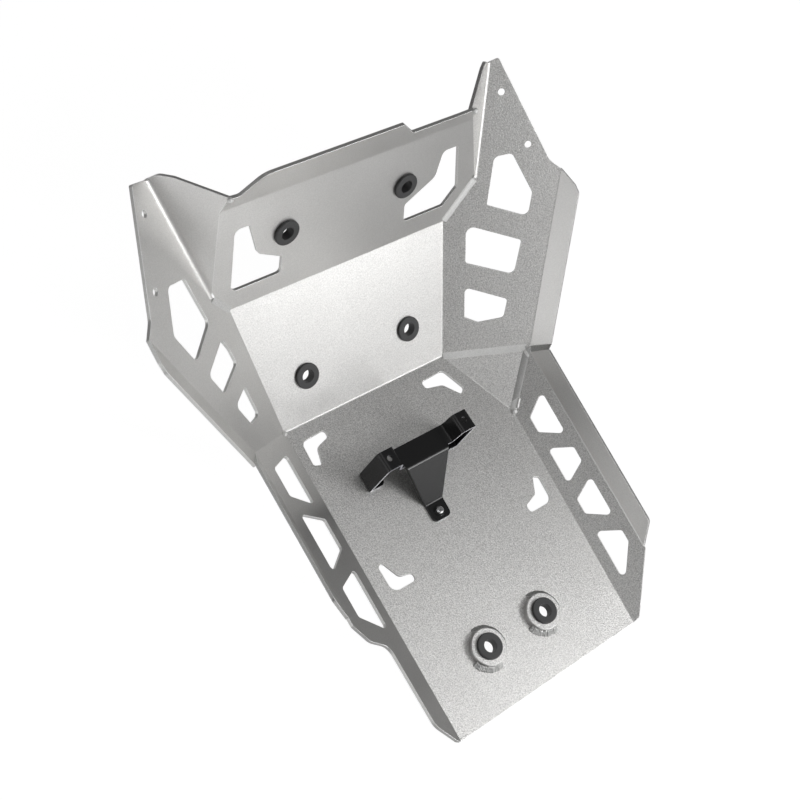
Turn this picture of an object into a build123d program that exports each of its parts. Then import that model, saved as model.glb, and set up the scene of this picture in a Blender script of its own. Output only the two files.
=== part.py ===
from build123d import *
import math
import os

# Engine guard for a motorcycle: one folded aluminium sheet closed with welds at its corners, two welded
# rings and four plain holes with rubber grommets for its bolts, and a folded strap bracket on its floor.
# Millimetres. +X is the left side of the guard, +Y the rear, +Z up. The floor's underside lies on z = 0
# and the fold between floor and ramp on y = 0. Widths and lengths are on the inner face of the sheet.

os.makedirs("parts", exist_ok=True)

SHEET = 3.0
FOLD_RADIUS = 2.5
SOFT_RADIUS = 9.0
GUSSET_RADIUS = 4.0

# floor, ramp, upper panel and the band along its top
FLOOR_HALF = 92.4
FLOOR_LENGTH = 307.5
RAMP_LENGTH = 129.8
RAMP_RISE = 43.4
KNEE_HALF = 117.3
UPPER_LENGTH = 106.8
UPPER_RISE = 68.0
BAND_HEIGHT = 14.5
TAB_HEIGHT = 34.0
TAB_LEFT = 95.5
TAB_RIGHT = -41.5
TAB_SLOPE = 18.0

# folds shared by both sides
WING_FOLD = 32.3
LIP_FOLD = 29.5
WING_LIP = 20.5
SIDE_LIP = 18.8
LIP_NOSE = (12.0, 15.5)
GUSSET_CROWN = 1.5
BOLT_HOLE = 6.4

# left side, built on +X
LEFT = {
    "rear_half": 103.4,
    "flange_rise": 30.8,
    "lip_line": 52.5,
    "knee_seam": 27.8,
    "top_half": 128.2,
    "band_corner": (122.6, 16.0),
    "gusset_top": (271.0, 28.5),
    "tip": (277.4, 48.5),
    "shoulder": (187.0, 98.5),
    "lip_start": (178.0, 109.5),
    "bolt_holes": ((253.0, 49.5), (200.8, 78.2)),
    "wing_windows": (
        ((187.5, 38.0, 2.5), (195.0, 62.0, 6), (161.5, 81.2, 6), (127.8, 69.2, 6), (141.5, 32.5, 6)),
        ((121.0, 26.8, 4), (107.0, 22.2, 8), (92.0, 21.2, 4), (84.6, 54.0, 4), (109.5, 62.6, 5)),
        ((70.6, 24.2, 3), (38.3, 22.4, 4), (40.0, 38.0, 4), (66.5, 47.0, 5)),
    ),
    "upper_window": ((99.4, 83.0, 2.5), (113.7, 83.0, 6), (116.4, 19.0, 6), (66.5, 19.0, 4),
                     (65.8, 36.2, 4), (90.6, 49.8, 8)),
    "front_slot": ((57.0, 13.5, 3), (83.0, 15.0, 6), (84.7, 39.0, 3), (77.0, 41.6, 2.5), (71.9, 25.0, 6),
                   (57.0, 20.8, 3)),
    "rear_slot": ((78.0, 144.7, 2.5), (83.8, 145.4, 3), (84.2, 171.9, 8), (58.5, 171.9, 3),
                  (58.0, 164.9, 3), (70.8, 162.2, 6)),
}

# right side, written as seen in a mirror so that it is built on +X as well
RIGHT = {
    "rear_half": 108.0,
    "flange_rise": 39.6,
    "lip_line": 43.4,
    "facet_rise": 28.3,
    "facet_corner": (125.9, 80.0),
    "knee_seam": 48.9,
    "top_half": 133.4,
    "band_corner": (127.6, 15.0),
    "gusset_top": (274.5, 40.0),
    "tip": (278.6, 49.7),
    "shoulder": (186.6, 98.9),
    "lip_start": (178.4, 110.0),
    "bolt_holes": ((248.4, 53.0), (201.0, 78.6)),
    "wing_windows": (
        ((190.4, 47.5, 6), (193.4, 64.0, 5), (156.6, 84.0, 5), (134.3, 80.5, 6), (145.8, 41.3, 2.5)),
        ((127.6, 22.0, 7), (112.0, 75.0, 3), (78.8, 68.5, 6), (91.2, 22.0, 4)),
        ((67.8, 21.4, 4), (55.0, 63.0, 4), (36.8, 59.5, 4), (32.6, 34.6, 5), (38.0, 21.6, 3)),
    ),
    "upper_window": ((103.6, 83.0, 6), (120.8, 83.0, 2.5), (127.9, 35.5, 3), (113.5, 19.2, 3),
                     (67.5, 19.2, 4), (66.1, 38.8, 4), (98.3, 57.4, 10)),
    "front_slot": ((56.4, 13.8, 3), (84.2, 12.6, 6), (93.9, 37.3, 3), (87.5, 41.9, 2.5), (74.9, 25.6, 6),
                   (57.4, 21.6, 3)),
    "rear_slot": ((103.3, 144.3, 2.5), (109.7, 147.1, 3), (107.4, 172.8, 8), (80.0, 172.6, 3),
                  (79.5, 165.0, 3), (94.9, 160.0, 6)),
}

# windows of the side flanges: two ends on the lower rail, two on the upper rail, the two rails
LEFT_WINDOWS = ((20.5, 72.2, 58.5, 30.5, 13.5, 39.5), (87.5, 117.0, 134.0, 76.5, 11.0, 39.5),
                (137.5, 198.0, 177.0, 149.0, 11.0, 39.5))
RIGHT_WINDOWS = ((13.4, 30.0, 44.4, -3.1, 11.2, 33.4), (47.9, 87.5, 74.6, 59.3, 11.2, 33.4),
                 (103.9, 119.3, 133.6, 90.8, 11.2, 33.4), (138.4, 193.4, 161.6, 149.6, 11.2, 33.4))
WINDOW_CORNER = 3.5
LEFT_LIP_END = 174.0
LEFT_TAIL = ((182.0, 52.5, 6), (200.0, 41.5, 12), (210.0, 22.0, 14), (286.0, 20.5, 14), (306.0, 4.0, 3))
RIGHT_LIP_END = 171.9
RIGHT_TAIL = ((172.4, 45.6, 2), (226.6, 7.0, 4))

# rubber grommets, and the rings that carry the rear pair
GROMMET_FLANGE = 24.0
GROMMET_NECK = 18.0
GROMMET_BORE = 11.6
GROMMET_RIM = 3.0
GROMMET_ROUND = 1.0
UPPER_GROMMET = (63.1, 61.3)
RAMP_GROMMET = (58.0, 43.1)
FLOOR_SHIFT = 3.0
BOSS_SPOT = (33.0, 254.4)
BOSS_OUTER = 34.0
BOSS_HEIGHT = 6.2
BOSS_WEB = SHEET
BOSS_POCKET = GROMMET_FLANGE + 1.0
BOSS_CHAMFER = 0.6

# strap bracket and its screw
STRAP = 2.5
STRAP_FRONT = 65.2
STRAP_WIDTH = 18.8
STRAP_TOP = 50.0
BAR_TOP = 33.5
BAR_HALF = 29.5
HORN_IN = 34.5
HORN_OUT = 50.8
LEG_OUT = 52.3
FOOT_IN = 34.5
HORN_HOLE = (42.7, 73.8)
HORN_THREAD = 5.5
WEB_REACH = 3.2
WEB_BEND = 2.0
WEB_TOP_HALF = 25.2
WEB_FOOT_HALF = 9.8
WEB_FOOT_AT = 119.5
TAB_END = 137.0
TAB_ROUND = 5.0
SCREW_AT = 128.9
SCREW_HOLE = 4.5
SCREW_HEAD = 7.4
SCREW_HEAD_HEIGHT = 2.2
SCREW_SHANK = 4.0
SCREW_HEX = 2.5
WASHER = 10.0
WASHER_THICK = 1.0
STRAP_BEND = 1.2

# welds; an arc of weld at a ring is its first angle, its sweep, how far it reaches and how high it climbs
BEAD = 3.4
BEAD_CROWN = 0.5
BEAD_GAP = 1.0
LIP_WELD = 2.2
TOP_BLOB = 5.0
CORNER_BLOB = 4.6
FACET_RUN = (5.0, 13.0, 2.6)
RING_WELD_FRONT = (172.0, 108.0, 2.8, 2.6)
RING_WELD_REAR = (14.0, 90.0, 6.0, 4.2)


class Panel:
    """flat piece of the sheet: a corner, the way along its fold, the way out from it, its inner side"""

    def __init__(self, corner, along, outward, inner):
        self.corner = corner
        self.u = along
        self.v = outward
        self.n = inner

    def at(self, u, v, lift=0.0):
        return self.corner + self.u * u + self.v * v + self.n * lift

    def local(self, spot):
        way = spot - self.corner
        return way.dot(self.u), way.dot(self.v)

    def fold(self, start, end, angle, away):
        """the panel hinged on the line start to end and turned up by the angle, leaving the spot away"""
        along = (end - start).normalized()
        out = self.n.cross(along)
        if out.dot(start - away) < 0:
            out = out * -1.0
        turn = math.radians(angle)
        outward = out * math.cos(turn) + self.n * math.sin(turn)
        inner = self.n * math.cos(turn) - out * math.sin(turn)
        return Panel(start, along, outward, inner)


def meeting(first, second, third):
    """the spot that three panels share"""
    a = second.n.cross(third.n)
    b = third.n.cross(first.n)
    c = first.n.cross(second.n)
    total = a * first.corner.dot(first.n) + b * second.corner.dot(second.n) + c * third.corner.dot(third.n)
    return total * (1.0 / first.n.dot(a))


def seam_way(first, second, toward):
    way = first.n.cross(second.n).normalized()
    if way.dot(toward) < 0:
        way = way * -1.0
    return way


def outline(spots):
    """closed wire through spots (point, radius)"""
    cuts = []
    for i, (spot, radius) in enumerate(spots):
        back = (spots[i - 1][0] - spot).normalized()
        ahead = (spots[(i + 1) % len(spots)][0] - spot).normalized()
        if radius == 0:
            cuts.append((spot, spot, spot))
            continue
        half = math.acos(max(-1.0, min(1.0, back.dot(ahead)))) / 2
        reach = radius / math.tan(half)
        toward = (back + ahead).normalized()
        middle = spot + toward * (radius / math.sin(half) - radius)
        cuts.append((spot + back * reach, middle, spot + ahead * reach))
    edges = []
    for i, (start, middle, end) in enumerate(cuts):
        if (end - start).length > 1e-6:
            edges.append(Edge.make_three_point_arc(start, middle, end))
        following = cuts[(i + 1) % len(cuts)][0]
        if (following - end).length > 1e-6:
            edges.append(Edge.make_line(end, following))
    return Wire(edges)


def shape_on(panel, corners):
    spots = []
    for corner in corners:
        radius = corner[2] if len(corner) > 2 else 0
        spots.append((panel.at(corner[0], corner[1]), radius))
    return outline(spots)


def circle_on(panel, u, v, diameter):
    return Wire([Edge.make_circle(diameter / 2, Plane(origin=panel.at(u, v), z_dir=panel.n))])


def slab(panel, edge, holes=()):
    return Solid.extrude(Face(edge, list(holes)), panel.n * -SHEET)


def closed(spots):
    return outline([(spot, 0) for spot in spots])


def ways_out(along, first, second):
    """the ways out from a line in the two panels that meet there"""
    ways = []
    for panel, other in ((first, second), (second, first)):
        way = panel.n.cross(along).normalized()
        if way.dot(other.n) < 0:
            way = way * -1.0
        ways.append(way)
    return ways


def fold_solids(start, end, first, second, radius):
    """what joins two panels along an inward fold: the round outside and the hollow inside"""
    along = end - start
    middle = (first.n + second.n).normalized()
    outer = Wire([
        Edge.make_line(start, start - first.n * SHEET),
        Edge.make_three_point_arc(start - first.n * SHEET, start - middle * SHEET, start - second.n * SHEET),
        Edge.make_line(start - second.n * SHEET, start),
    ])
    if radius == 0:
        return [Solid.extrude(Face(outer), along)]
    ways = ways_out(along, first, second)
    half = math.acos(max(-1.0, min(1.0, first.n.dot(second.n)))) / 2
    reach = radius * math.tan(half)
    centre = start + ways[0] * reach + first.n * radius
    near = centre + (start - centre).normalized() * radius
    inner = Wire([
        Edge.make_line(start, start + ways[0] * reach),
        Edge.make_three_point_arc(start + ways[0] * reach, near, start + ways[1] * reach),
        Edge.make_line(start + ways[1] * reach, start),
    ])
    return [Solid.extrude(Face(outer), along), Solid.extrude(Face(inner), along)]


def corner_ball(spot, panels):
    """fills the outside of a corner where several folds meet"""
    bowl = None
    for panel in panels:
        side = Plane(origin=spot, z_dir=panel.n)
        block = Solid.make_box(24, 24, 24, side).translate(side.x_dir * -12 + side.y_dir * -12)
        bowl = block if bowl is None else bowl.intersect(block)
        if isinstance(bowl, ShapeList):
            bowl = bowl[0]
    return Solid.make_sphere(SHEET, Plane(origin=spot)).cut(bowl)


def window_row(windows):
    return [((a, low, WINDOW_CORNER), (b, low, WINDOW_CORNER), (c, high, WINDOW_CORNER),
             (d, high, WINDOW_CORNER)) for a, b, c, d, low, high in windows]


def point(x, y, z=0.0):
    return Vector(x, y, z + SHEET)


# the middle run of the sheet
X = Vector(1, 0, 0)
floor = Panel(point(0, 0), X, Vector(0, 1, 0), Vector(0, 0, 1))
fold_left = point(FLOOR_HALF, 0)
fold_right = point(-FLOOR_HALF, 0)
ramp = floor.fold(fold_right, fold_left, RAMP_RISE, floor.at(0, 1))
ramp.corner = floor.at(0, 0)
knee_left = ramp.at(KNEE_HALF, RAMP_LENGTH)
knee_right = ramp.at(-KNEE_HALF, RAMP_LENGTH)
upper = ramp.fold(knee_right, knee_left, UPPER_RISE - RAMP_RISE, floor.at(0, 1))
upper.corner = ramp.at(0, RAMP_LENGTH)
band = upper.fold(upper.at(-9, UPPER_LENGTH), upper.at(9, UPPER_LENGTH), 90 - UPPER_RISE, upper.at(0, 1))
band.corner = upper.at(0, UPPER_LENGTH)


def build_side(size, windows, tail, lip_end):
    """wing, gusset, side flange, lips and the facet where there is one, all on +X"""
    made = []
    fold = point(FLOOR_HALF, 0)
    knee = ramp.at(KNEE_HALF, RAMP_LENGTH)
    inside = floor.at(0, 60)
    wing = ramp.fold(fold, knee, WING_FOLD, ramp.at(0, 60))
    rear = floor.at(size["rear_half"], FLOOR_LENGTH)
    hinge = fold
    panels = {"wing": wing}
    if "facet_corner" in size:
        hinge = floor.at(*size["facet_corner"])
        facet = floor.fold(fold, hinge, size["facet_rise"], inside)
        panels["facet"] = facet
    flange = floor.fold(hinge, rear, size["flange_rise"], inside)
    panels["flange"] = flange
    lip_row = size["lip_line"]

    # lower corner of the wing, shared with the flange or with facet and flange
    if "facet_corner" in size:
        corner = meeting(wing, facet, flange)
        cu, cv = wing.local(corner)
        wing_end = wing.at(cu + 1.2, cv + 2.4)
        fu, fv = flange.local(corner)
        flange_start = flange.at(fu + 5.6, lip_row)
    else:
        way = seam_way(wing, flange, X)
        corner = fold + way * (lip_row / way.dot(flange.v))
        wing_end = corner
        fu, fv = flange.local(corner)
        flange_start = flange.at(fu + 3.4, lip_row)

    # upper corner of the wing, on the seam with the upper panel
    seam_end = knee + seam_way(wing, upper, X) * size["knee_seam"]
    top = wing.at(*size["gusset_top"])
    top_corner = upper.at(size["top_half"], UPPER_LENGTH)
    normal = (top - seam_end).cross(top_corner - seam_end).normalized()
    if normal.dot(Vector(0, 1, 0)) < 0:
        normal = normal * -1.0
    rise = (top - seam_end).normalized()
    gusset = Panel(seam_end, rise, rise.cross(normal), normal)
    if gusset.v.dot(top_corner - seam_end) < 0:
        gusset.v = gusset.v * -1.0
    band_end = band.at(*size["band_corner"])
    gusset_end = gusset.at(*gusset.local(band_end))

    tip = wing.at(*size["tip"])
    shoulder = wing.at(*size["shoulder"])
    lip_start = wing.at(*size["lip_start"])
    wing_edge = outline([(fold, 0), (knee, 0), (seam_end, 0), (top, 0), (tip, 2), (shoulder, 12),
                         (lip_start, 0), (wing_end, 0)] + ([(corner, 0)] if wing_end is not corner else []))
    holes = [shape_on(wing, w) for w in size["wing_windows"]]
    holes += [circle_on(wing, u, v, BOLT_HOLE) for u, v in size["bolt_holes"]]
    made.append(slab(wing, wing_edge, holes))

    tu, tv = gusset.local(top)
    gusset_edge = outline([(seam_end, 0), (top, 0), (gusset.at(tu + GUSSET_CROWN, tv + 10), 9),
                           (gusset.at(tu - 4.0, tv + 21), 12), (gusset_end, 0), (top_corner, 0)])
    made.append(slab(gusset, gusset_edge))

    # side flange with its windows
    floor_edge = [(hinge, 0), (rear, 0)]
    tail_spots = [(flange.at(c[0], c[1]), c[2]) for c in reversed(tail)]
    start_spots = [(flange.at(lip_end, lip_row), 0), (flange_start, 0)]
    flange_spots = floor_edge + tail_spots + start_spots
    if wing_end is not corner or "facet_corner" not in size:
        flange_spots.append((corner, 0))
    made.append(slab(flange, outline(flange_spots), [shape_on(flange, w) for w in windows]))

    # lips
    wing_lip = wing.fold(lip_start, wing_end, LIP_FOLD, wing.at(120, 40))
    run = (wing_end - lip_start).length
    made.append(slab(wing_lip, shape_on(wing_lip, ((0, 0), (run, 0), (run - 7, WING_LIP, 1.5),
                                                  (19, WING_LIP, 6), (LIP_NOSE[0], LIP_NOSE[1], 6)))))
    flange_end = flange.at(lip_end, lip_row)
    side_lip = flange.fold(flange_start, flange_end, LIP_FOLD, inside)
    reach = (flange_end - flange_start).length
    made.append(slab(side_lip, shape_on(side_lip, ((0, 0), (reach, 0), (reach - 17, SIDE_LIP, 6),
                                                  (9, SIDE_LIP, 1.5)))))

    # folds
    made += fold_solids(fold, knee, ramp, wing, FOLD_RADIUS)
    made += fold_solids(knee, seam_end, upper, wing, 0)
    made += fold_solids(seam_end, top, wing, gusset, GUSSET_RADIUS)
    made += fold_solids(lip_start, wing_end, wing, wing_lip, FOLD_RADIUS)
    made += fold_solids(flange_start, flange_end, flange, side_lip, FOLD_RADIUS)
    made += fold_solids(hinge, rear, floor, flange, FOLD_RADIUS)
    if "facet_corner" in size:
        made.append(slab(facet, closed([fold, hinge, corner])))
        made += fold_solids(fold, hinge, floor, facet, FOLD_RADIUS)
        made += fold_solids(fold, corner, wing, facet, 0)
        made += fold_solids(hinge, corner, facet, flange, 0)
        made.append(corner_ball(fold, (floor, ramp, wing, facet)))
        made.append(corner_ball(hinge, (floor, facet, flange)))
        made.append(corner_ball(corner, (wing, facet, flange)))
    else:
        made += fold_solids(fold, corner, wing, flange, FOLD_RADIUS)
        made.append(corner_ball(fold, (floor, ramp, wing, flange)))
    made.append(corner_ball(knee, (ramp, upper, wing)))
    panels.update(gusset=gusset, wing_lip=wing_lip, side_lip=side_lip)
    spots = {"fold": fold, "knee": knee, "corner": corner, "wing_end": wing_end, "flange_start": flange_start,
             "seam_end": seam_end, "top_corner": top_corner, "band_end": band_end, "hinge": hinge,
             "rear": rear, "top": top, "wing_lip_end": wing_lip.at(run - 7, WING_LIP),
             "side_lip_end": side_lip.at(9, SIDE_LIP)}
    return made, panels, spots


def mirrored(shape):
    return shape.mirror(Plane.YZ)


def flip(spot):
    return Vector(-spot.X, spot.Y, spot.Z)


left_solids, left_panels, left = build_side(LEFT, window_row(LEFT_WINDOWS), LEFT_TAIL, LEFT_LIP_END)
right_solids, right_panels, right = build_side(RIGHT, window_row(RIGHT_WINDOWS), RIGHT_TAIL,
                                               RIGHT_LIP_END)


def flipped_corners(corners):
    return [(-c[0],) + tuple(c[1:]) for c in reversed(corners)]


floor_holes = [shape_on(floor, LEFT["front_slot"]), shape_on(floor, LEFT["rear_slot"])]
floor_holes += [shape_on(floor, flipped_corners(RIGHT["front_slot"])),
                shape_on(floor, flipped_corners(RIGHT["rear_slot"]))]
floor_holes += [circle_on(floor, FLOOR_SHIFT + side * BOSS_SPOT[0], BOSS_SPOT[1], BOSS_POCKET)
                for side in (1, -1)]
floor_holes.append(circle_on(floor, FLOOR_SHIFT, SCREW_AT, SCREW_SHANK))
floor_slab = slab(floor, closed([left["fold"], left["rear"], flip(right["rear"]), flip(right["hinge"]),
                                 flip(right["fold"])]), floor_holes)
ramp_slab = slab(ramp, closed([left["fold"], left["knee"], flip(right["knee"]), flip(right["fold"])]),
                 [circle_on(ramp, side * RAMP_GROMMET[0], RAMP_GROMMET[1], GROMMET_NECK) for side in (1, -1)])
upper_holes = [circle_on(upper, side * UPPER_GROMMET[0], UPPER_GROMMET[1], GROMMET_NECK) for side in (1, -1)]
upper_holes += [shape_on(upper, LEFT["upper_window"]), shape_on(upper, flipped_corners(RIGHT["upper_window"]))]
upper_slab = slab(upper, closed([left["knee"], left["seam_end"], left["top_corner"], flip(right["top_corner"]),
                                 flip(right["seam_end"]), flip(right["knee"])]), upper_holes)
band_spots = [(left["top_corner"], 0), (left["band_end"], 0),
              (band.at(TAB_LEFT + TAB_SLOPE, BAND_HEIGHT), 4), (band.at(TAB_LEFT, TAB_HEIGHT), 16),
              (band.at(TAB_RIGHT, TAB_HEIGHT), 3), (band.at(TAB_RIGHT - TAB_SLOPE, BAND_HEIGHT), 3),
              (band.at(-112, BAND_HEIGHT), 8), (flip(right["band_end"]), 0), (flip(right["top_corner"]), 0)]
band_slab = slab(band, outline(band_spots))

pieces = [floor_slab, ramp_slab, upper_slab, band_slab]
pieces += fold_solids(fold_right, fold_left, floor, ramp, FOLD_RADIUS)
pieces += fold_solids(knee_right, knee_left, ramp, upper, FOLD_RADIUS)
pieces += fold_solids(flip(right["top_corner"]), left["top_corner"], upper, band, SOFT_RADIUS)
pieces += left_solids
pieces += [mirrored(solid) for solid in right_solids]


def joined(solids):
    whole = solids[0].fuse(*solids[1:])
    found = whole.solids()
    if len(found) != 1:
        print("solids in one piece:", len(found), [round(s.volume, 1) for s in found])
    return max(found, key=lambda s: s.volume).clean()


guard = joined(pieces)


# welds
def bead(start, end, first, second, reach):
    """a bead laid along a seam, flat to both panels and slightly proud in the middle"""
    along = (end - start).normalized()
    start = start + along * BEAD_GAP
    run = end - along * BEAD_GAP - start
    ways = ways_out(along, first, second)
    one = start + ways[0] * reach
    two = start + ways[1] * reach
    crown = (one + two) * 0.5 + (first.n + second.n).normalized() * BEAD_CROWN
    edge = Wire([Edge.make_line(start, one), Edge.make_three_point_arc(one, crown, two),
                 Edge.make_line(two, start)])
    return Solid.extrude(Face(edge), run)


def lip_weld(spots, panels):
    """fills the butt joint where the lip of the wing meets the lip of the side flange"""
    down = (panels["wing_lip"].n + panels["side_lip"].n).normalized() * -LIP_WELD
    ends = []
    for a, b in ((spots["wing_end"], spots["flange_start"]), (spots["wing_lip_end"], spots["side_lip_end"])):
        ends.append(closed([a, b, b + down, a + down]))
    return Solid.make_loft(ends, ruled=True)


def blob(spot, size):
    return Solid.make_sphere(size / 2, Plane(origin=spot))


def facet_run(spots, panels):
    """short heavy run beside the lower end of the seam between facet and side flange"""
    first, last, size = FACET_RUN
    along = (spots["corner"] - spots["hinge"]).normalized()
    side = ways_out(along, panels["flange"], panels["facet"])[0]
    start = spots["hinge"] + along * first + side * BEAD + panels["flange"].n * 0.3
    run = Solid.make_cylinder(size / 2, last - first, Plane(origin=start, z_dir=along))
    run = run.fuse(blob(start, size), blob(start + along * (last - first), size))
    return mirrored(run.solids()[0])


def ring_weld(x, first, sweep, reach, height):
    """an arc of weld at the foot of a ring, from the angle first over sweep degrees"""
    wall = BOSS_OUTER / 2
    foot = Vector(wall, 0, SHEET)
    out = Vector(wall + reach, 0, SHEET)
    up = Vector(wall, 0, SHEET + height)
    belly = Vector(wall + reach * 0.62, 0, SHEET + height * 0.62)
    edge = Wire([Edge.make_line(foot, out), Edge.make_three_point_arc(out, belly, up), Edge.make_line(up, foot)])
    arc = Solid.revolve(Face(edge), sweep, Axis.Z)
    return arc.rotate(Axis.Z, first).translate(Vector(x, BOSS_SPOT[1], 0))


def ring(x):
    """ring with a pocket from below, standing on the floor"""
    body = Solid.make_cylinder(BOSS_OUTER / 2, BOSS_HEIGHT, Plane(origin=(x, BOSS_SPOT[1], SHEET)))
    top = [e for e in body.edges() if e.center().Z > SHEET + BOSS_HEIGHT - 0.01]
    body = body.chamfer(BOSS_CHAMFER, None, top)
    pocket = Solid.make_cylinder(BOSS_POCKET / 2, BOSS_HEIGHT - BOSS_WEB, Plane(origin=(x, BOSS_SPOT[1], SHEET)))
    neck = Solid.make_cylinder(GROMMET_NECK / 2, BOSS_HEIGHT, Plane(origin=(x, BOSS_SPOT[1], SHEET)))
    return body.cut(pocket).cut(neck)


def grommet(spot, normal):
    """rubber grommet held by its neck in the sheet; spot is on the inner face"""
    bore = GROMMET_BORE / 2
    rim = GROMMET_FLANGE / 2
    neck = GROMMET_NECK / 2
    under = -SHEET - GROMMET_RIM
    corners = ((bore, under, 0.5), (rim, under, GROMMET_ROUND), (rim, -SHEET, 0.4), (neck, -SHEET), (neck, 0),
               (rim, 0, 0.4), (rim, GROMMET_RIM, GROMMET_ROUND), (bore, GROMMET_RIM, 0.5))
    spots = [(Vector(c[0], 0, c[1]), c[2] if len(c) > 2 else 0) for c in corners]
    body = Solid.revolve(Face(outline(spots)), 360, Axis.Z)
    return body.moved(Plane(origin=spot, z_dir=normal).location)


def strip(points, radius):
    """closed corner list of a bent strip whose outer face runs through the points, metal on the left"""
    outer = []
    inner = []
    for i, p in enumerate(points):
        before = None if i == 0 else Vector(p[0] - points[i - 1][0], p[1] - points[i - 1][1]).normalized()
        after = None
        if i < len(points) - 1:
            after = Vector(points[i + 1][0] - p[0], points[i + 1][1] - p[1]).normalized()
        one = before if before is not None else after
        two = after if after is not None else before
        left_one = Vector(-one.Y, one.X)
        left_two = Vector(-two.Y, two.X)
        mitre = (left_one + left_two) * (STRAP / (1 + left_one.dot(left_two)))
        turn = one.X * two.Y - one.Y * two.X
        if abs(turn) < 1e-9:
            outer.append((p[0], p[1], 0))
            inner.append((p[0] + mitre.X, p[1] + mitre.Y, 0))
            continue
        outer.append((p[0], p[1], radius + STRAP if turn > 0 else radius))
        inner.append((p[0] + mitre.X, p[1] + mitre.Y, radius if turn > 0 else radius + STRAP))
    return outer + inner[::-1]


def bracket_solid():
    """strap with two vertical legs, horns and a lower bar, and the web that runs down to its rear foot"""
    half = [(FOOT_IN, 0), (LEG_OUT, 0), (HORN_OUT, STRAP_TOP), (HORN_IN, STRAP_TOP), (BAR_HALF, BAR_TOP)]
    path = half + [(-x, z) for x, z in reversed(half)]
    spots = [(Vector(x, STRAP_FRONT, z + SHEET), r) for x, z, r in strip(path, STRAP_BEND)]
    strap = Solid.extrude(Face(outline(spots)), Vector(0, STRAP_WIDTH, 0))
    toes = [e for e in strap.edges() if abs(abs(e.center().X) - FOOT_IN) < 0.01
            and abs((e @ 1).Z - (e @ 0).Z) > STRAP - 0.01]
    strap = strap.fillet(TAB_ROUND, toes)
    for side in (1, -1):
        hole = Solid.make_cylinder(HORN_THREAD / 2, 12, Plane(origin=(side * HORN_HOLE[0], HORN_HOLE[1],
                                                                      SHEET + STRAP_TOP - 6)))
        strap = strap.cut(hole)
    rear = STRAP_FRONT + STRAP_WIDTH
    run = [(TAB_END, STRAP), (WEB_FOOT_AT, STRAP), (rear + WEB_REACH, BAR_TOP), (rear - 3.0, BAR_TOP)]
    side_spots = [(Vector(-40, y, z + SHEET), r) for y, z, r in strip(run, WEB_BEND)]
    web = Solid.extrude(Face(outline(side_spots)), Vector(80, 0, 0))
    slope = (WEB_TOP_HALF - WEB_FOOT_HALF) / (WEB_FOOT_AT - rear)
    plan = [(WEB_TOP_HALF + slope * 3.0, rear - 3.0, 0), (WEB_FOOT_HALF, WEB_FOOT_AT, 3),
            (WEB_FOOT_HALF, TAB_END, TAB_ROUND)]
    plan = plan + [(-x, y, r) for x, y, r in reversed(plan)]
    lean = FLOOR_SHIFT / (SCREW_AT - HORN_HOLE[1])
    prism = Solid.extrude(Face(outline([(Vector(x + lean * (y - HORN_HOLE[1]), y, 0), r) for x, y, r in plan])),
                          Vector(0, 0, 80))
    web = web.intersect(prism)
    if isinstance(web, ShapeList):
        web = web[0]
    hole = Solid.make_cylinder(SCREW_HOLE / 2, 20, Plane(origin=(FLOOR_SHIFT, SCREW_AT, SHEET - 5)))
    return strap.fuse(web).cut(hole)


def screw():
    seat = SHEET + STRAP + WASHER_THICK
    head = Solid.make_cylinder(SCREW_HEAD / 2, SCREW_HEAD_HEIGHT, Plane(origin=(FLOOR_SHIFT, SCREW_AT, seat)))
    rim = [e for e in head.edges() if e.center().Z > seat + SCREW_HEAD_HEIGHT - 0.01]
    head = head.fillet(1.4, rim)
    socket = Solid.extrude(Face(Wire.make_polygon([
        Vector(FLOOR_SHIFT + SCREW_HEX / 2 / math.cos(math.pi / 6) * math.cos(math.radians(60 * i)),
               SCREW_AT + SCREW_HEX / 2 / math.cos(math.pi / 6) * math.sin(math.radians(60 * i)),
               seat + SCREW_HEAD_HEIGHT + 0.1) for i in range(6)])), Vector(0, 0, -1.5))
    shank = Solid.make_cylinder(SCREW_SHANK / 2, seat - 0.2, Plane(origin=(FLOOR_SHIFT, SCREW_AT, 0.2)))
    return head.fuse(shank).cut(socket)


def washer():
    low = SHEET + STRAP
    body = Solid.make_cylinder(WASHER / 2, WASHER_THICK, Plane(origin=(FLOOR_SHIFT, SCREW_AT, low)))
    return body.cut(Solid.make_cylinder(SCREW_SHANK / 2, 4, Plane(origin=(FLOOR_SHIFT, SCREW_AT, low - 1))))


def save(shape, name):
    solids = shape.solids()
    if len(solids) != 1:
        print(name, "has", len(solids), "solids")
    body = max(solids, key=lambda s: s.volume)
    body.label = name
    export_step(body, "parts/" + name + ".step")
    print(name, round(body.volume, 1), "valid", body.is_valid)
    return body


save(guard, "guard_plate")

beads = {
    "weld_knee_left": bead(left["knee"], left["seam_end"], upper, left_panels["wing"], BEAD),
    "weld_knee_right": mirrored(bead(right["knee"], right["seam_end"], upper, right_panels["wing"], BEAD)),
    "weld_wing_right": mirrored(bead(right["fold"], right["corner"], right_panels["wing"], right_panels["facet"],
                                     BEAD)),
    "weld_facet_right": mirrored(bead(right["hinge"], right["corner"], right_panels["facet"],
                                      right_panels["flange"], BEAD)),
    "weld_lip_left": lip_weld(left, left_panels),
    "weld_lip_right": mirrored(lip_weld(right, right_panels)),
    "weld_top_left": blob(left["band_end"] + Vector(0.4, 0.5, -0.4), TOP_BLOB),
    "weld_top_right": blob(flip(right["band_end"]) + Vector(-0.4, 0.5, -0.4), TOP_BLOB),
    "weld_corner_left": blob(left["fold"] + Vector(0.6, 1.2, 1.4), CORNER_BLOB),
    "weld_corner_right": blob(flip(right["hinge"]) + Vector(-0.6, 0.8, 1.2), CORNER_BLOB + 1.0),
    "weld_facet_spot": facet_run(right, right_panels),
}
laid = []
for name, shape in beads.items():
    clean = shape.cut(guard, *laid)
    laid.append(save(clean, name))

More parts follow.
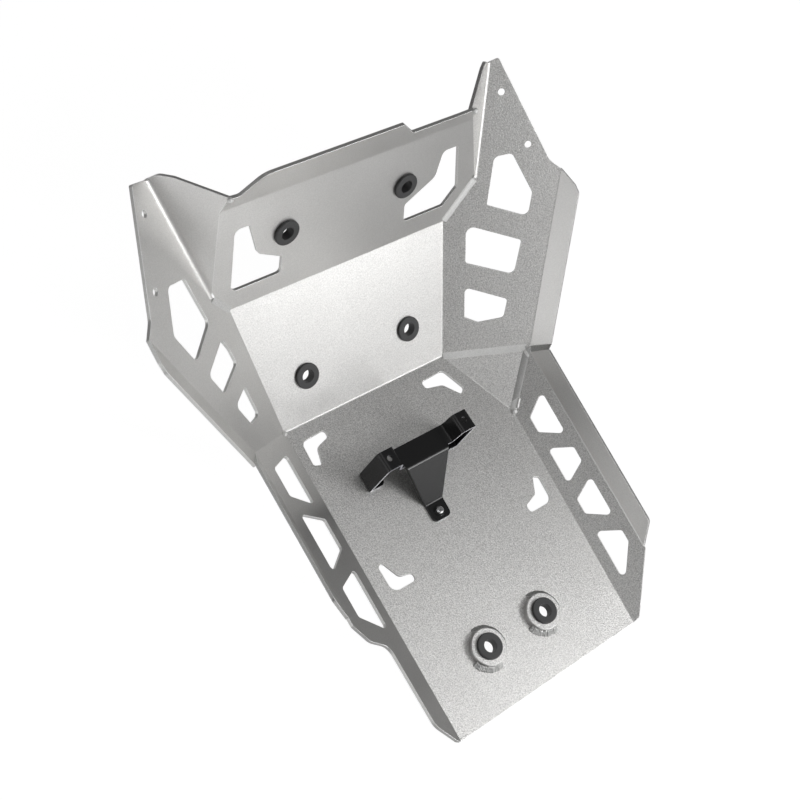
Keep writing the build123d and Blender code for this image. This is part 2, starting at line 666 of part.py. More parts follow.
for side, word in ((1, "left"), (-1, "right")):
    save(ring(FLOOR_SHIFT + side * BOSS_SPOT[0]), "ring_" + word)
    save(ring_weld(FLOOR_SHIFT + side * BOSS_SPOT[0], *RING_WELD_FRONT), "weld_ring_front_" + word)
    save(ring_weld(FLOOR_SHIFT + side * BOSS_SPOT[0], *RING_WELD_REAR), "weld_ring_rear_" + word)
    save(grommet(Vector(FLOOR_SHIFT + side * BOSS_SPOT[0], BOSS_SPOT[1], SHEET + BOSS_HEIGHT), Vector(0, 0, 1)),
         "grommet_floor_" + word)
    save(grommet(ramp.at(side * RAMP_GROMMET[0], RAMP_GROMMET[1]), ramp.n), "grommet_ramp_" + word)
    save(grommet(upper.at(side * UPPER_GROMMET[0], UPPER_GROMMET[1]), upper.n), "grommet_upper_" + word)

save(bracket_solid(), "bracket")
save(washer(), "bracket_washer")
save(screw(), "bracket_screw")
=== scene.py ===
"""Looks for the folded aluminium engine guard: bare blasted sheet, rippled ring welds, rubber
grommets and a black coated strap bracket, on a white studio floor.

Fitted to the tones of the photograph, from its angle only: the strengths of the lamps, the areas
of coarse grain, the drift of the sheet's tone and the darker seams. The drift is a painted sheen,
and two of the seams carry painted shade of a groove; whether the finish or the light causes the
areas of coarse grain is not known."""

import math

import bpy
from bpy.props import FloatProperty, FloatVectorProperty, IntProperty, PointerProperty
from bpy.types import NodeSocket, Operator, Panel, PropertyGroup
from mathutils import Euler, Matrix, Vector


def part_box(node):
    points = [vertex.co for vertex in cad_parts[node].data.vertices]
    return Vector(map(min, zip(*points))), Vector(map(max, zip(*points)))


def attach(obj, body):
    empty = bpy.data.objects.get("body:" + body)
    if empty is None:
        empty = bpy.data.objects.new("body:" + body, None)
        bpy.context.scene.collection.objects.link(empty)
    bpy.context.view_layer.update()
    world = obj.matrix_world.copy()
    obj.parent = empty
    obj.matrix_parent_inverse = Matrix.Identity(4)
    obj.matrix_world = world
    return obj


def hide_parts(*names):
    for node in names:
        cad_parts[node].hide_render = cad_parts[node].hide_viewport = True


bl_info = {
    "name": "Engine Guard Finish",
    "version": (1, 0, 0),
    "blender": (4, 5, 0),
    "location": "3D View > Sidebar > Guard",
    "description": "Finishes the folded engine guard and sets up its studio",
    "category": "Object",
}

MM = 0.001
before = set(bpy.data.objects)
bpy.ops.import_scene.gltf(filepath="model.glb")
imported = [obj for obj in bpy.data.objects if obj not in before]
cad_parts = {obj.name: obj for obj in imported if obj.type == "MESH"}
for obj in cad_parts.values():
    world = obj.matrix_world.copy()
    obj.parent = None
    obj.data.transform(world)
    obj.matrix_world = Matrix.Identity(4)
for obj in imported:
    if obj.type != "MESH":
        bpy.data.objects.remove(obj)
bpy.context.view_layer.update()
ROOT = "root"
SIDES = ("left", "right")


# settings
class SheetSettings(PropertyGroup):
    tone: FloatVectorProperty(
        name="Aluminium", description="Colour of the bare sheet", subtype="COLOR", size=3,
        default=(0.66, 0.655, 0.645))
    grain: FloatProperty(
        name="Grain", description="Size of one speck of the blasted face", default=1.1 * MM,
        unit="LENGTH")
    speck: FloatProperty(
        name="Speck", description="How strongly the specks differ in tone", default=1.5)
    roughness: FloatProperty(
        name="Roughness", description="Roughness of the blasted face", default=0.42,
        subtype="FACTOR")
    # the edge width rounds the shading normal and also sets the painted highlight on edges and
    # folds
    edge: FloatProperty(
        name="Edge", description="Width of the light rim on every cut edge and fold",
        default=0.7 * MM, unit="LENGTH")


class WeldSettings(PropertyGroup):
    tone: FloatVectorProperty(
        name="Weld", description="Colour of the weld metal", subtype="COLOR", size=3,
        default=(0.76, 0.76, 0.75))
    raw_from: FloatProperty(
        name="Raw from",
        description="Seams are dressed flat up to here, ring welds behind it stay raw",
        default=150.0 * MM, unit="LENGTH")
    raw_dark: FloatProperty(
        name="Raw dark", description="How much darker the raw welds are", default=0.35)
    pitch: FloatProperty(
        name="Ripple", description="Distance from one ripple to the next", default=2.1 * MM,
        unit="LENGTH")
    seed: IntProperty(name="Seed", description="Seed of the uneven ripples", default=7)


class SmallPartSettings(PropertyGroup):
    rubber: FloatVectorProperty(
        name="Rubber", description="Colour of the grommets", subtype="COLOR", size=3,
        default=(0.05, 0.05, 0.051))
    # painted shade: how far into the grommets' bores the tone darkens
    bore: FloatProperty(
        name="Bore", description="How far in from the mouth the bores of the grommets darken",
        default=9.0 * MM, unit="LENGTH")
    coat: FloatVectorProperty(
        name="Coat", description="Colour of the bracket's coat", subtype="COLOR", size=3,
        default=(0.0035, 0.0035, 0.0038))
    # painted highlight on the bracket's cut edges that face the rear
    rear_edge_highlight: FloatProperty(
        name="Rear edge highlight", description="How much lighter the rear cut edges of the bracket are",
        default=170.0)
    steel: FloatVectorProperty(
        name="Steel", description="Colour of the plated screw", subtype="COLOR", size=3,
        default=(0.7, 0.7, 0.71))


class StageSettings(PropertyGroup):
    camera_place: FloatVectorProperty(
        name="Camera", description="Where the camera stands", subtype="TRANSLATION",
        unit="LENGTH", size=3, default=(0.560893, 0.245197, 1.01184))
    camera_turn: FloatVectorProperty(
        name="Camera turn", description="Rotation of the camera", subtype="EULER", size=3,
        default=(math.radians(25.782), math.radians(-19.548), math.radians(145.668)))
    lens: FloatProperty(name="Lens", description="Focal length in millimetres", default=57.15)
    floor: FloatProperty(
        name="Floor", description="Width of the studio floor", default=8.0, unit="LENGTH")
    sky: FloatProperty(
        name="Sky", description="Strength of the even light from all round", default=0.12)


# node helpers
def feed(tree, made, inputs):
    """sets a node's inputs, each to a value or to another node's output"""
    for key, value in inputs.items():
        if isinstance(value, NodeSocket):
            tree.links.new(value, made.inputs[key])
        else:
            made.inputs[key].default_value = value


def node(tree, kind, inputs=None, **attributes):
    """adds a node; its attributes are set first, because they decide which inputs it has"""
    made = tree.nodes.new(kind)
    for key, value in attributes.items():
        setattr(made, key, value)
    feed(tree, made, inputs or {})
    return made


def calc(tree, operation, *values):
    """the result of a math node on values or other nodes' outputs"""
    return node(tree, "ShaderNodeMath", dict(enumerate(values)), operation=operation).outputs[0]


def plus_scaled(tree, base, value, gain):
    """base + value * gain"""
    return calc(tree, "ADD", base, calc(tree, "MULTIPLY", value, gain))


def clamped(tree, value, low, high):
    return calc(tree, "MINIMUM", calc(tree, "MAXIMUM", value, low), high)


def object_axes(tree):
    """X, Y and Z of the spot in the part's own frame"""
    place = tree.nodes.new("ShaderNodeTexCoord")
    return node(tree, "ShaderNodeSeparateXYZ", {0: place.outputs["Object"]}).outputs


def normal_axes(tree):
    """X, Y and Z of the way that the face points"""
    facing = tree.nodes.new("ShaderNodeNewGeometry")
    return node(tree, "ShaderNodeSeparateXYZ", {0: facing.outputs["True Normal"]}).outputs


BEVEL_SAMPLES = 6


def soft_normal(tree, radius):
    """the normal, rounded over edges within the radius"""
    soft = node(tree, "ShaderNodeBevel", {"Radius": radius}, samples=BEVEL_SAMPLES)
    return soft.outputs["Normal"]


# shader node groups
def group_tree(name, inputs, outputs):
    """node group with float inputs (name: default) and float outputs"""
    tree = bpy.data.node_groups.new(name, "ShaderNodeTree")
    for label, default in inputs.items():
        socket = tree.interface.new_socket(label, in_out="INPUT", socket_type="NodeSocketFloat")
        socket.default_value = default
    for label in outputs:
        tree.interface.new_socket(label, in_out="OUTPUT", socket_type="NodeSocketFloat")
    return tree, tree.nodes.new("NodeGroupInput").outputs, tree.nodes.new("NodeGroupOutput")


GRAIN_DEFAULTS = {"Scale": 1000.0, "Speck": 0.5, "Drift": 0.3}
FINE_NOISE = {"Detail": 2.0, "Roughness": 0.6}
SLOW_NOISE = {"Detail": 3.0, "Scale": 22.0}
NOISE_MIDDLE = 0.5


def grain_group():
    """specks of a blasted or cast face, with slow drifts in tone under them"""
    tree, given, out = group_tree("Speckled grain", GRAIN_DEFAULTS, ("Tone", "Height"))
    place = tree.nodes.new("ShaderNodeTexCoord").outputs["Object"]
    fine = node(tree, "ShaderNodeTexNoise",
                {"Vector": place, "Scale": given["Scale"], **FINE_NOISE})
    slow = node(tree, "ShaderNodeTexNoise", {"Vector": place, **SLOW_NOISE})
    specks, drifts = (
        calc(tree, "MULTIPLY", calc(tree, "SUBTRACT", noise.outputs["Fac"], NOISE_MIDDLE), strength)
        for noise, strength in ((fine, given["Speck"]), (slow, given["Drift"])))
    feed(tree, out, {
        "Tone": calc(tree, "ADD", calc(tree, "ADD", specks, drifts), 1.0),
        "Height": calc(tree, "MULTIPLY", fine.outputs["Fac"], given["Speck"]),
    })
    return tree


BLASTED_DEFAULTS = {
    "Side": 0.3,            # faces that point sideways by more than this are wings and flanges
    "Lip": 0.75,            # and by more than this are lips
    "Upright": 0.5,         # faces that point up by less than this are the upper panel and above
    "Upper edge": -0.0945,  # Y of the fold between ramp and upper panel
    "Ramp": 0.5,            # strength of the grain on the ramp
    "Fine": 0.2,            # and on the upper panel, the left side and the right lips
    "Gain": 0.17,           # how far the painted sheen lifts or lowers the tone
    "Across": 0.1,          # X at which the drift is full
    "Back": 0.06,           # Y over which it falls by as much
}


def blast_and_sheen_group():
    """how strong the sheet's grain is: full on the floor and the right side, half on the ramp, fine
    elsewhere; and a painted sheen over the left side and the upper panel, lighter towards the front
    left, darker towards the rear and the right; both are fitted to the photograph, and the light
    may be a cause as well as the finish"""
    tree, given, out = group_tree("Blast and painted sheen", BLASTED_DEFAULTS, ("Amount", "Painted sheen"))
    spot = object_axes(tree)
    turned = normal_axes(tree)
    steep = calc(tree, "ABSOLUTE", turned["X"])
    side = calc(tree, "GREATER_THAN", steep, given["Side"])
    flat = calc(tree, "SUBTRACT", 1.0, side)
    left = calc(tree, "MULTIPLY", side, calc(tree, "GREATER_THAN", spot["X"], 0.0))
    panel = calc(tree, "LESS_THAN", steep, given["Lip"])
    right = calc(tree, "MULTIPLY", calc(tree, "SUBTRACT", side, left), panel)
    ramp = calc(tree, "GREATER_THAN", spot["Y"], given["Upper edge"])
    floor = calc(tree, "GREATER_THAN", spot["Y"], 0.0)
    low = calc(tree, "MAXIMUM", calc(tree, "MULTIPLY", ramp, given["Ramp"]), floor)
    coarse = calc(tree, "MAXIMUM", calc(tree, "MULTIPLY", low, flat), right)
    upright = calc(tree, "LESS_THAN", calc(tree, "ABSOLUTE", turned["Z"]), given["Upright"])
    sheen_faces = calc(tree, "MAXIMUM", left, calc(tree, "MULTIPLY", upright, flat))
    across = calc(tree, "DIVIDE", spot["X"], given["Across"])
    back = calc(tree, "DIVIDE", calc(tree, "MAXIMUM", spot["Y"], 0.0), given["Back"])
    drift = clamped(tree, calc(tree, "SUBTRACT", across, back), -1.0, 1.0)
    # painted sheen: the tone lifted towards the front left, lowered towards the rear and the right
    painted_sheen = calc(tree, "MULTIPLY", calc(tree, "MULTIPLY", sheen_faces, drift), given["Gain"])
    feed(tree, out, {
        "Amount": calc(tree, "MAXIMUM", coarse, given["Fine"]),
        "Painted sheen": calc(tree, "ADD", painted_sheen, 1.0),
    })
    return tree


EDGE_DEFAULTS = {"Width": 0.7 * MM, "Gain": 4.0}


def edge_group():
    """painted highlight where faces meet: 0 on the flat, 1 on an edge"""
    tree, given, out = group_tree("Edge highlight", EDGE_DEFAULTS, ("Rim",))
    flat = tree.nodes.new("ShaderNodeNewGeometry")
    alike = node(tree, "ShaderNodeVectorMath", {
        0: soft_normal(tree, given["Width"]), 1: flat.outputs["True Normal"],
    }, operation="DOT_PRODUCT").outputs["Value"]
    off = calc(tree, "MULTIPLY", calc(tree, "SUBTRACT", 1.0, alike), given["Gain"])
    feed(tree, out, {"Rim": clamped(tree, off, 0.0, 1.0)})
    return tree


GROUP_MAKERS = {"grain": grain_group, "edge": edge_group, "blasted": blast_and_sheen_group}
GROUPS = {}


def group(tree, name, **values):
    """the outputs of a shared node group, which is built on its first use"""
    if name not in GROUPS:
        GROUPS[name] = GROUP_MAKERS[name]()
    return node(tree, "ShaderNodeGroup", values, node_tree=GROUPS[name]).outputs


# materials
def material(name):
    made = bpy.data.materials.new(name)
    made.use_nodes = True
    tree = made.node_tree
    return made, tree, tree.nodes["Principled BSDF"]


def tinted(tree, colour, tone):
    """the colour times a grey tone that changes over the surface"""
    mix = node(tree, "ShaderNodeVectorMath", {0: colour, "Scale": tone}, operation="SCALE")
    return mix.outputs[0]


# the grain's specks per metre, how strongly they differ, and how strongly the tone drifts
GRAINS = {
    "weld": {"Scale": 900.0, "Speck": 0.5, "Drift": 0.3},
    "rubber": {"Scale": 1400.0, "Speck": 0.5, "Drift": 0.6},
    "coat": {"Scale": 1100.0, "Speck": 0.6, "Drift": 0.4},
    "steel": {"Scale": 1600.0, "Speck": 0.2, "Drift": 0.3},
}
SHEET_DRIFT = 0.08
# strength and depth of the bump that the grain makes
BUMPS = {
    "sheet": {"Strength": 0.6, "Distance": 0.3 * MM},
    "weld": {"Strength": 0.5, "Distance": 0.3 * MM},
    "rubber": {"Strength": 0.3, "Distance": 0.1 * MM},
    "coat": {"Strength": 0.3, "Distance": 0.1 * MM},
}
# how much rougher the grain makes the face
ROUGHER = {"sheet": 0.06, "rubber": 0.2, "steel": 0.15}
# gain of the painted highlight on edges, and how much it lightens the tone
RIM_GAIN = {"sheet": 6.0, "steel": 4.0}
RIM_HIGHLIGHT = {"sheet": 1.3, "steel": 0.4}


def bumped(tree, grain, name, **normal):
    """the normal, roughened by the grain"""
    values = {"Height": grain["Height"], **BUMPS[name], **normal}
    return node(tree, "ShaderNodeBump", values).outputs["Normal"]


def bare_aluminium(settings):
    made, tree, shader = material("Blasted aluminium")
    area = group(tree, "blasted")
    grain = group(tree, "grain", Scale=1.0 / settings.grain, Drift=SHEET_DRIFT,
                  Speck=calc(tree, "MULTIPLY", area["Amount"], settings.speck))
    rim = group(tree, "edge", Width=settings.edge, Gain=RIM_GAIN["sheet"])
    # painted highlight on every cut edge and fold
    tone = plus_scaled(tree, grain["Tone"], rim["Rim"], RIM_HIGHLIGHT["sheet"])
    # painted sheen over the left side and the upper panel
    tone = calc(tree, "MULTIPLY", tone, area["Painted sheen"])
    feed(tree, shader, {
        "Base Color": tinted(tree, settings.tone, tone),
        "Metallic": 1.0,
        "Roughness": plus_scaled(tree, settings.roughness, grain["Height"], ROUGHER["sheet"]),
        "Normal": bumped(tree, grain, "sheet", Normal=soft_normal(tree, settings.edge)),
    })
    return made


# stretches of weld that are darker than the rest: low corner, high corner, how much darker; the
# first two, on the right facet's seam, are painted shade of the groove between facet and flange
SEAM_SHADE_AND_TONE = (
    ((-0.170, 0.036, 0.000), (-0.124, 0.0715, 0.028), 0.42),
    ((-0.180, 0.034, 0.028), (-0.160, 0.053, 0.050), 0.40),
    ((0.110, -0.110, 0.090), (0.140, -0.090, 0.120), 0.10),
)
WELD_METALLIC = 0.5
RAW_MORE_METALLIC = 0.5
WELD_ROUGHNESS = 0.5
RAW_SMOOTHER = 0.16


def box_mask(tree, axes, low, high):
    """1 inside the box, 0 outside"""
    inside = None
    for label, start, end in zip("XYZ", low, high):
        for operation, limit in (("GREATER_THAN", start), ("LESS_THAN", end)):
            test = calc(tree, operation, axes[label], limit)
            inside = test if inside is None else calc(tree, "MULTIPLY", inside, test)
    return inside


def weld_metal(settings):
    made, tree, shader = material("Weld metal")
    grain = group(tree, "grain", **GRAINS["weld"])
    axes = object_axes(tree)
    raw = calc(tree, "GREATER_THAN", axes["Y"], settings.raw_from)
    tone = plus_scaled(tree, grain["Tone"], raw, -settings.raw_dark)
    # the first two boxes paint the shade of a groove into the weld's tone
    for low, high, dark in SEAM_SHADE_AND_TONE:
        tone = plus_scaled(tree, tone, box_mask(tree, axes, low, high), -dark)
    feed(tree, shader, {
        "Base Color": tinted(tree, settings.tone, tone),
        "Metallic": plus_scaled(tree, WELD_METALLIC, raw, RAW_MORE_METALLIC),
        "Roughness": plus_scaled(tree, WELD_ROUGHNESS, raw, -RAW_SMOOTHER),
        "Normal": bumped(tree, grain, "weld"),
    })
    return made


RUBBER_ROUGHNESS = 0.42
# samples and strength of the painted shade in the bores
BORE_SAMPLES = 8
BORE_SHADE_POWER = 2.0


def black_rubber(settings):
    made, tree, shader = material("Grommet rubber")
    grain = group(tree, "grain", **GRAINS["rubber"])
    # painted shade: the rubber's tone darkened by ambient occlusion, most in the bores
    occlusion = node(tree, "ShaderNodeAmbientOcclusion", {"Distance": settings.bore},
                  samples=BORE_SAMPLES)
    dark = calc(tree, "POWER", occlusion.outputs["AO"], BORE_SHADE_POWER)
    feed(tree, shader, {
        "Base Color": tinted(tree, settings.rubber, calc(tree, "MULTIPLY", grain["Tone"], dark)),
        "Roughness": plus_scaled(tree, RUBBER_ROUGHNESS, grain["Height"], ROUGHER["rubber"]),
        "Normal": bumped(tree, grain, "rubber"),
    })
    return made


# faces of the bracket that point to the rear by more than this are its cut edges with a painted
# highlight
REARWARD = 0.97
COAT_ROUGHNESS = 0.27
COAT_SPECULAR = 0.6
COAT_EDGE = 0.6 * MM


def black_coat(settings):
    made, tree, shader = material("Black coat")
    grain = group(tree, "grain", **GRAINS["coat"])
    # painted highlight: the rear-facing cut edges made much lighter
    cut = calc(tree, "GREATER_THAN", normal_axes(tree)["Y"], REARWARD)
    tone = plus_scaled(tree, grain["Tone"], cut, settings.rear_edge_highlight)
    feed(tree, shader, {
        "Base Color": tinted(tree, settings.coat, tone),
        "Roughness": COAT_ROUGHNESS,
        "Specular IOR Level": COAT_SPECULAR,
        "Normal": bumped(tree, grain, "coat", Normal=soft_normal(tree, COAT_EDGE)),
    })
    return made


STEEL_EDGE = 0.3 * MM
STEEL_ROUGHNESS = 0.2


def plated_steel(settings):
    made, tree, shader = material("Plated steel")
    grain = group(tree, "grain", **GRAINS["steel"])
    rim = group(tree, "edge", Width=STEEL_EDGE, Gain=RIM_GAIN["steel"])
    # painted highlight on the screw's edges
    tone = plus_scaled(tree, grain["Tone"], rim["Rim"], RIM_HIGHLIGHT["steel"])
    feed(tree, shader, {
        "Base Color": tinted(tree, settings.steel, tone),
        "Metallic": 1.0,
        "Roughness": plus_scaled(tree, STEEL_ROUGHNESS, grain["Height"], ROUGHER["steel"]),
    })
    return made


# the material of each slot, and the settings that it reads
SLOTS = {
    "bare_aluminium": (bare_aluminium, "guard_sheet"),
    "weld_metal": (weld_metal, "guard_weld"),
    "black_rubber": (black_rubber, "guard_small"),
    "black_coat": (black_coat, "guard_small"),
    "bright_steel": (plated_steel, "guard_small"),
}
FINISHES = {}


def finish(slot):
    """the material of a slot, made once"""
    if slot not in FINISHES:
        maker, settings = SLOTS[slot]
        FINISHES[slot] = maker(getattr(bpy.context.scene, settings))
    return FINISHES[slot]


def paint(name, slot):
    """gives a part of the frame its finish"""
    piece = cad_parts[name]
    piece.data.materials.clear()
    piece.data.materials.append(finish(slot))


# ring welds, laid as overlapping ripples: angles in degrees, lengths in metres, the pitch as a
# share of the one in the settings; breadth and height are half of a ripple's
RING_WELDS = {
    "front": {"first": 174.0, "sweep": 104.0, "reach": 1.7 * MM, "lift": 0.9 * MM, "pitch": 0.6,
              "breadth": 2.7 * MM, "height": 0.9 * MM, "tilt": 34.0, "stray": 0.15 * MM},
    "rear": {"first": 20.0, "sweep": 80.0, "reach": 2.2 * MM, "lift": 1.1 * MM, "pitch": 0.65,
             "breadth": 3.6 * MM, "height": 1.3 * MM, "tilt": 33.0, "stray": 0.3 * MM},
}
ARC_STEPS = 24
RIPPLE_BALL = {"Segments": 16, "Rings": 8, "Radius": 1.0}
RIPPLE_LENGTH = 0.95            # half of a ripple's length along the path, as a share of the pitch
RIPPLE_BREADTHS = (0.8, 1.15)   # narrowest and broadest ripple, as a share of the weld's breadth
RIPPLE_SOCKETS = {
    "Path": "Geometry", "Centre": "Vector", "Pitch": "Float", "Breadth": "Float",
    "Height": "Float", "Tilt": "Float", "Stray": "Float", "Seed": "Int", "Finish": "Material",
}


def ripple_tree():
    """ripples of weld on the points of a path: each is a flattened ball that leans out from the
    centre"""
    tree = bpy.data.node_groups.new("Weld ripples", "GeometryNodeTree")
    for label, kind in RIPPLE_SOCKETS.items():
        tree.interface.new_socket(label, in_out="INPUT", socket_type="NodeSocket" + kind)
    tree.interface.new_socket("Weld", in_out="OUTPUT", socket_type="NodeSocketGeometry")
    given = tree.nodes.new("NodeGroupInput").outputs
    curve = node(tree, "GeometryNodeMeshToCurve", {0: given["Path"]})
    spread = node(tree, "GeometryNodeCurveToPoints", {
        "Curve": curve.outputs[0], "Length": given["Pitch"],
    }, mode="LENGTH")
    stray = node(tree, "FunctionNodeRandomValue", {
        0: calc(tree, "MULTIPLY", given["Stray"], -1.0), 1: given["Stray"], "Seed": given["Seed"],
    }, data_type="FLOAT_VECTOR")
    moved = node(tree, "GeometryNodeSetPosition", {
        0: spread.outputs["Points"], "Offset": stray.outputs[0],
    })
    # the random node's float range and result are its inputs 2 and 3 and its output 1
    uneven = node(tree, "FunctionNodeRandomValue", {
        2: RIPPLE_BREADTHS[0], 3: RIPPLE_BREADTHS[1], "Seed": given["Seed"],
    }, data_type="FLOAT")
    size = node(tree, "ShaderNodeCombineXYZ", {
        "X": calc(tree, "MULTIPLY", given["Breadth"], uneven.outputs[1]),
        "Y": calc(tree, "MULTIPLY", given["Pitch"], RIPPLE_LENGTH),
        "Z": given["Height"],
    })
    spot = tree.nodes.new("GeometryNodeInputPosition")
    outward = node(tree, "ShaderNodeVectorMath", {0: spot.outputs[0], 1: given["Centre"]},
                   operation="SUBTRACT")
    facing = node(tree, "FunctionNodeAxesToRotation", {0: (0, 0, 1), 1: outward.outputs[0]},
                  primary_axis="Z", secondary_axis="X")
    lean = node(tree, "ShaderNodeCombineXYZ", {"Y": given["Tilt"]})
    leaning = node(tree, "FunctionNodeEulerToRotation", {0: lean.outputs[0]})
    turned = node(tree, "FunctionNodeRotateRotation", {0: facing.outputs[0], 1: leaning.outputs[0]},
                  rotation_space="LOCAL")
    ball = node(tree, "GeometryNodeMeshUVSphere", RIPPLE_BALL)
    place = node(tree, "GeometryNodeInstanceOnPoints", {
        "Points": moved.outputs[0], "Instance": ball.outputs["Mesh"],
        "Rotation": turned.outputs[0], "Scale": size.outputs[0],
    })
    real = node(tree, "GeometryNodeRealizeInstances", {0: place.outputs[0]})
    coat = node(tree, "GeometryNodeSetMaterial", {
        "Geometry": real.outputs[0], "Material": given["Finish"],
    })
    node(tree, "NodeGroupOutput", {0: coat.outputs[0]})
    return tree


def ring_arc(name, arc):
    """the centre of a ring, and the points of one of its welds round its wall"""
    low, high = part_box("ring_" + name)
    centre = (Vector(low) + Vector(high)) / 2
    radius = (high[0] - low[0]) / 2 + arc["reach"]
    points = []
    for step in range(ARC_STEPS + 1):
        angle = math.radians(arc["first"] + arc["sweep"] * step / ARC_STEPS)
        points.append((centre.x + radius * math.cos(angle), centre.y + radius * math.sin(angle),
                       low[2] + arc["lift"]))
    return centre, points


def ripple_weld(tree, name, ring, arc, pitch, seed):
    """lays ripples along one weld of a ring and returns them as a mesh"""
    centre, points = ring_arc(ring, arc)
    mesh = bpy.data.meshes.new(name + "_path")
    mesh.from_pydata(points, [(i, i + 1) for i in range(len(points) - 1)], [])
    path = bpy.data.objects.new(name + "_path", mesh)
    bpy.context.collection.objects.link(path)
    laid = path.modifiers.new("ripples", "NODES")
    laid.node_group = tree
    values = {"Centre": tuple(centre), "Pitch": pitch * arc["pitch"], "Breadth": arc["breadth"],
              "Height": arc["height"], "Tilt": math.radians(arc["tilt"]), "Stray": arc["stray"],
              "Seed": seed, "Finish": finish("weld_metal")}
    for item in tree.interface.items_tree:
        if item.in_out == "INPUT" and item.name in values:
            laid[item.identifier] = values[item.name]
    return baked(path, name)


def baked(piece, name):
    """the evaluated piece as a plain mesh object"""
    graph = bpy.context.evaluated_depsgraph_get()
    mesh = bpy.data.meshes.new_from_object(piece.evaluated_get(graph))
    made = bpy.data.objects.new(name, mesh)
    bpy.context.collection.objects.link(made)
    bpy.data.objects.remove(piece)
    mesh.shade_smooth()
    return made


# stage; each lamp has its place, its width and its power, and points at the target
LAMPS = {
    "rear_right_low": ((-0.56, 1.06, 0.26), 0.20, 0.30),
    "rear_right_top": ((-0.55, 0.75, 0.80), 0.5, 5.25),
    "rear_low": ((0.00, 1.15, 0.30), 0.5, 1.84),
    "rear_top": ((-0.35, 0.45, 1.00), 0.5, 0.61),
    "left_low": ((1.05, 0.20, 0.25), 0.5, 1.6),
    "left_high": ((0.95, 0.10, 0.70), 0.5, 0.69),
    "overhead": ((0.00, 0.10, 1.40), 0.7, 1.84),
    "right_high": ((-0.90, 0.05, 0.85), 0.4, 0.16),
}
LAMP_TARGET = Vector((0.0, 0.06, 0.05))
WHITE = (1.0, 1.0, 1.0, 1.0)
FLOOR_GREY = (0.8, 0.8, 0.8, 1.0)
FLOOR_ROUGHNESS = 0.9
FLOOR_TO_EYE = 0.97     # how white the floor glows straight to the eye
FLOOR_TO_GLOSS = 0.58   # and in the gloss of the part
SHADE_GREY = (0.10, 0.10, 0.10, 1.0)
SENSOR_WIDTH = 36.0     # in millimetres
NEAREST = 0.01          # what is nearer to the camera than this is cut off


def lamp(name, place, size, power):
    data = bpy.data.lights.new(name, "AREA")
    data.size = size
    data.energy = power
    made = bpy.data.objects.new(name, data)
    made.location = place
    made.rotation_euler = (LAMP_TARGET - Vector(place)).to_track_quat("-Z", "Y").to_euler()
    bpy.context.collection.objects.link(made)


def white_to_eye(tree, surface):
    """the surface, or for rays from the eye and from gloss a white glow with a faint grey face that
    takes the part's shadow"""
    rays = tree.nodes.new("ShaderNodeLightPath").outputs
    direct = calc(tree, "MAXIMUM", rays["Is Camera Ray"], rays["Is Transmission Ray"])
    glossy = rays["Is Glossy Ray"]
    strength = calc(tree, "MAXIMUM", calc(tree, "MULTIPLY", direct, FLOOR_TO_EYE),
                    calc(tree, "MULTIPLY", glossy, FLOOR_TO_GLOSS))
    glow = node(tree, "ShaderNodeEmission", {"Strength": strength})
    shade = node(tree, "ShaderNodeBsdfDiffuse", {"Color": SHADE_GREY})
    both = node(tree, "ShaderNodeAddShader", {0: glow.outputs[0], 1: shade.outputs[0]})
    seen = calc(tree, "MAXIMUM", direct, glossy)
    mix = node(tree, "ShaderNodeMixShader", {"Fac": seen, 1: surface, 2: both.outputs[0]})
    return mix.outputs[0]


def floor_material():
    made, tree, shader = material("Studio floor")
    feed(tree, shader, {"Base Color": FLOOR_GREY, "Roughness": FLOOR_ROUGHNESS})
    feed(tree, tree.nodes["Material Output"], {"Surface": white_to_eye(tree, shader.outputs[0])})
    return made


# operators
class GUARD_OT_sheet(Operator):
    """Gives the folded sheet and its rings their blasted finish"""
    bl_idname = "guard.sheet"
    bl_label = "Sheet"

    def execute(self, context):
        for name in ("guard_plate", "ring_left", "ring_right"):
            paint(name, "bare_aluminium")
        return {"FINISHED"}


class GUARD_OT_welds(Operator):
    """Gives the seam welds their finish and lays the ripples of the ring welds"""
    bl_idname = "guard.welds"
    bl_label = "Welds"

    def execute(self, context):
        settings = context.scene.guard_weld
        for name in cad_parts:
            if name.startswith("weld_"):
                paint(name, "weld_metal")
        tree = ripple_tree()
        for number, side in enumerate(SIDES):
            for end, arc in RING_WELDS.items():
                piece = ripple_weld(tree, "ring_weld_%s_%s" % (end, side), side, arc,
                                    settings.pitch, settings.seed + number)
                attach(piece, ROOT)
                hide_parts("weld_ring_%s_%s" % (end, side))
        return {"FINISHED"}


class GUARD_OT_small_parts(Operator):
    """Finishes the grommets, the bracket and its screw"""
    bl_idname = "guard.small_parts"
    bl_label = "Small parts"

    def execute(self, context):
        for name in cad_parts:
            if name.startswith("grommet_"):
                paint(name, "black_rubber")
        for name in ("bracket", "bracket_washer"):
            paint(name, "black_coat")
        paint("bracket_screw", "bright_steel")
        return {"FINISHED"}


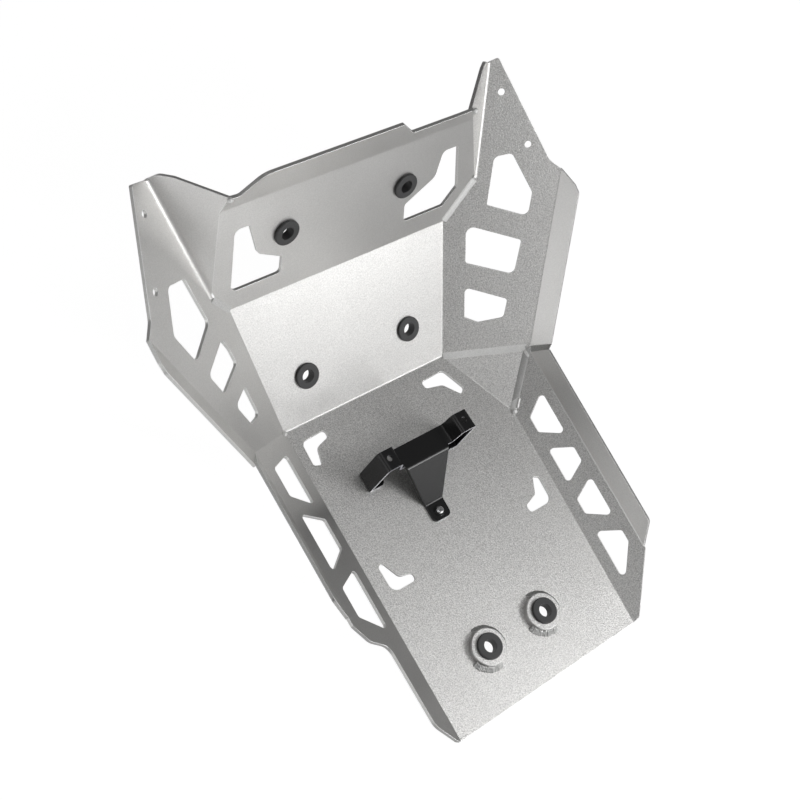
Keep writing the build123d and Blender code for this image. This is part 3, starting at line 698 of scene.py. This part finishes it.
class GUARD_OT_stage(Operator):
    """Sets up the floor, the lamps and the camera"""
    bl_idname = "guard.stage"
    bl_label = "Stage"

    def execute(self, context):
        settings = context.scene.guard_stage
        half = settings.floor / 2
        corners = [(-half, -half, 0), (half, -half, 0), (half, half, 0), (-half, half, 0)]
        mesh = bpy.data.meshes.new("studio_floor")
        mesh.from_pydata(corners, [], [(0, 1, 2, 3)])
        mesh.materials.append(floor_material())
        ground = bpy.data.objects.new("studio_floor", mesh)
        context.collection.objects.link(ground)
        for name, (place, size, power) in LAMPS.items():
            lamp(name, place, size, power)
        world = bpy.data.worlds.new("Studio")
        world.use_nodes = True
        feed(world.node_tree, world.node_tree.nodes["Background"],
             {"Color": WHITE, "Strength": settings.sky})
        context.scene.world = world
        data = bpy.data.cameras.new("camera")
        data.lens = settings.lens
        data.sensor_width = SENSOR_WIDTH
        data.clip_start = NEAREST
        eye = bpy.data.objects.new("camera", data)
        eye.location = settings.camera_place
        eye.rotation_euler = Euler(settings.camera_turn, "XYZ")
        context.collection.objects.link(eye)
        context.scene.camera = eye
        context.scene.view_settings.view_transform = "Standard"
        return {"FINISHED"}


class GUARD_PT_panel(Panel):
    """Lists the steps of the finish"""
    bl_idname = "GUARD_PT_panel"
    bl_label = "Engine guard"
    bl_space_type = "VIEW_3D"
    bl_region_type = "UI"
    bl_category = "Guard"

    def draw(self, context):
        for step in STEPS:
            self.layout.operator(step.bl_idname)


SETTINGS = {
    "guard_sheet": SheetSettings,
    "guard_weld": WeldSettings,
    "guard_small": SmallPartSettings,
    "guard_stage": StageSettings,
}
STEPS = (GUARD_OT_sheet, GUARD_OT_welds, GUARD_OT_small_parts, GUARD_OT_stage)


def register():
    for kind in (*SETTINGS.values(), *STEPS, GUARD_PT_panel):
        bpy.utils.register_class(kind)
    for name, kind in SETTINGS.items():
        setattr(bpy.types.Scene, name, PointerProperty(type=kind))


def unregister():
    for name in SETTINGS:
        delattr(bpy.types.Scene, name)
    for kind in (GUARD_PT_panel, *reversed(STEPS), *SETTINGS.values()):
        bpy.utils.unregister_class(kind)


def main():
    register()
    bpy.ops.guard.sheet()
    bpy.ops.guard.welds()
    bpy.ops.guard.small_parts()
    bpy.ops.guard.stage()


if __name__ == "__main__":
    main()
